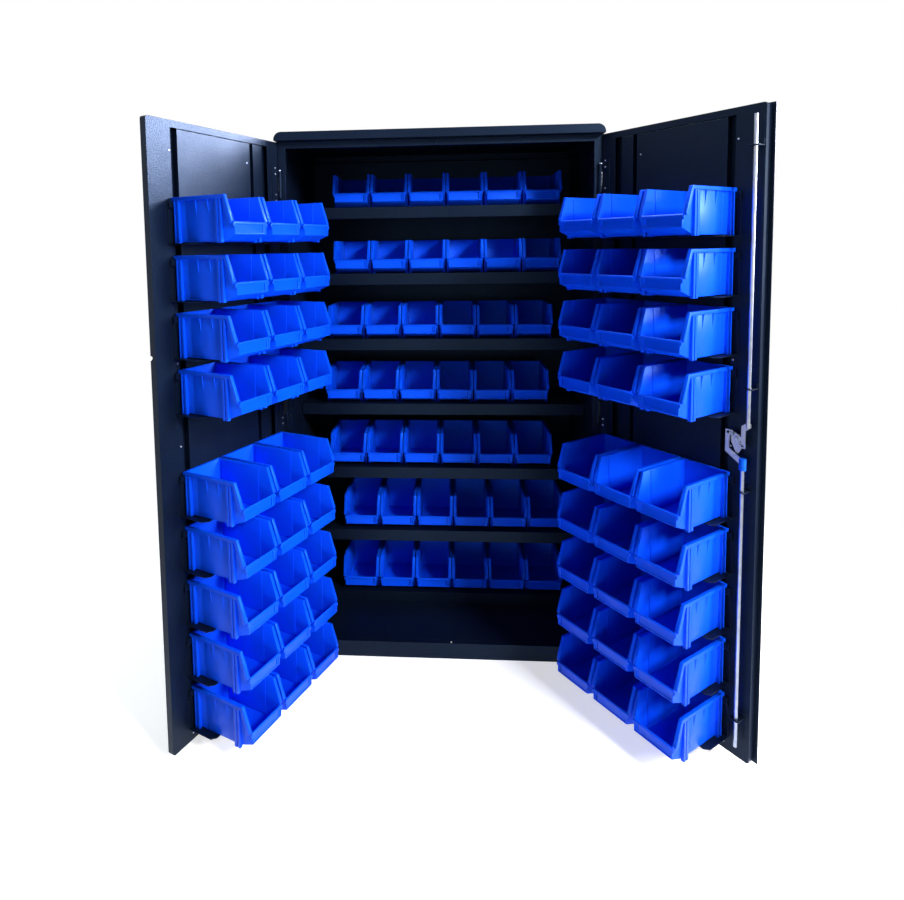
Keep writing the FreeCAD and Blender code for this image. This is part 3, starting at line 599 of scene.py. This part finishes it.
def flat_floor():
    """A pale floor that keeps the object's shadow and looks white to the camera elsewhere."""
    mesh = bpy.data.meshes.new("floor")
    mesh.from_pydata([(x * FLOOR_REACH, y * FLOOR_REACH, FLOOR_Z)
                      for x, y in ((-1, -1), (1, -1), (1, 1), (-1, 1))], [], [(0, 1, 2, 3)])
    floor = bpy.data.objects.new("floor", mesh)
    bpy.context.scene.collection.objects.link(floor)
    material, shader, add, link = new_material("floor_pale")
    place = add("ShaderNodeTexCoord").outputs["Object"]
    colour = drift(add, {"Vector": place, "Scale": 3.0, "Detail": 4.0}, grey(0.80), grey(0.83))
    link(colour, shader.inputs["Base Color"])
    shader.inputs["Roughness"].default_value = 0.6
    seen = direct_rays(add)
    glow = add("ShaderNodeMath", {0: seen, 1: FLOOR_GLOW}, operation="MULTIPLY")
    shader.inputs["Emission Color"].default_value = WHITE
    link(glow.outputs["Value"], shader.inputs["Emission Strength"])
    away = add("ShaderNodeVectorMath", {0: place}, operation="LENGTH")
    fade = add("ShaderNodeMapRange", {"Value": away.outputs["Value"], "From Min": FADE_START,
                                      "From Max": FADE_END})
    plain = add("ShaderNodeEmission", {"Color": WHITE, "Strength": 1.0})
    amount = add("ShaderNodeMath", {0: fade.outputs["Result"], 1: seen}, operation="MULTIPLY")
    blend = add("ShaderNodeMixShader", {0: amount.outputs["Value"], 1: shader.outputs["BSDF"],
                                        2: plain.outputs["Emission"]})
    output = material.node_tree.nodes["Material Output"]
    link(blend.outputs["Shader"], output.inputs["Surface"])
    mesh.materials.append(material)


def set_world():
    """An even, slightly blue room that the camera and reflections see as white."""
    world = bpy.data.worlds.new("room")
    bpy.context.scene.world = world
    world.use_nodes = True
    tree = world.node_tree
    back = tree.nodes["Background"]
    add = node_adder(tree)
    seen = direct_rays(add)
    level = add("ShaderNodeMapRange", {"Value": seen, "To Min": ROOM_LEVEL, "To Max": 1.0})
    tree.links.new(level.outputs["Result"], back.inputs["Strength"])
    tint = add("ShaderNodeMix", {"Factor": seen, "A": ROOM_TINT, "B": WHITE}, data_type="RGBA")
    tree.links.new(tint.outputs["Result"], back.inputs["Color"])


def area_light(name, place, aim, width, height, power, colour):
    """A soft panel of light that looks at a point."""
    data = bpy.data.lights.new(name, "AREA")
    data.shape = "RECTANGLE"
    data.size = width
    data.size_y = height
    data.energy = power
    data.color = colour
    lamp = bpy.data.objects.new(name, data)
    bpy.context.scene.collection.objects.link(lamp)
    lamp.location = place
    lamp.rotation_euler = (Vector(place) - Vector(aim)).to_track_quat("Z", "Y").to_euler()
    return lamp


def only_gloss(lamp, names):
    """The lamp shows in gloss alone, and not in these nodes, whose outsides would mirror it from behind."""
    lamp.visible_diffuse = False
    lamp.visible_camera = False
    passed_by = bpy.data.collections.new(lamp.name + "_passed_by")
    for name in names:
        passed_by.objects.link(nodes[name])
    lamp.light_linking.receiver_collection = passed_by
    for member in passed_by.collection_objects:
        member.light_linking.link_state = "EXCLUDE"


def set_camera():
    """The camera at the photograph's place, with its shift as the photograph's crop needs."""
    forward = Vector((-math.sin(YAW) * math.cos(PITCH), math.cos(YAW) * math.cos(PITCH), -math.sin(PITCH)))
    right = Vector((math.cos(YAW), math.sin(YAW), 0))
    down = forward.cross(right)
    turned_right = math.cos(ROLL) * right + math.sin(ROLL) * down
    turned_down = -math.sin(ROLL) * right + math.cos(ROLL) * down
    data = bpy.data.cameras.new("camera")
    data.sensor_width = SENSOR_WIDTH
    data.lens = FOCAL / PHOTO_WIDTH * data.sensor_width
    data.shift_x = (PHOTO_WIDTH / 2 - MIDDLE_X) / PHOTO_WIDTH
    data.shift_y = (MIDDLE_Y - PHOTO_HEIGHT / 2) / PHOTO_WIDTH
    camera = bpy.data.objects.new("camera", data)
    bpy.context.scene.collection.objects.link(camera)
    camera.matrix_world = placing(turned_right, -turned_down, -forward, CAMERA_PLACE)
    bpy.context.scene.camera = camera


flat_floor()
set_world()
lamps = {name: area_light(name, *settings) for name, settings in LAMPS.items()}
only_gloss(lamps["sheen"], SHEEN_PASSES_BY)
set_camera()
bpy.context.scene.view_settings.view_transform = "Standard"

bpy.context.view_layer.update()
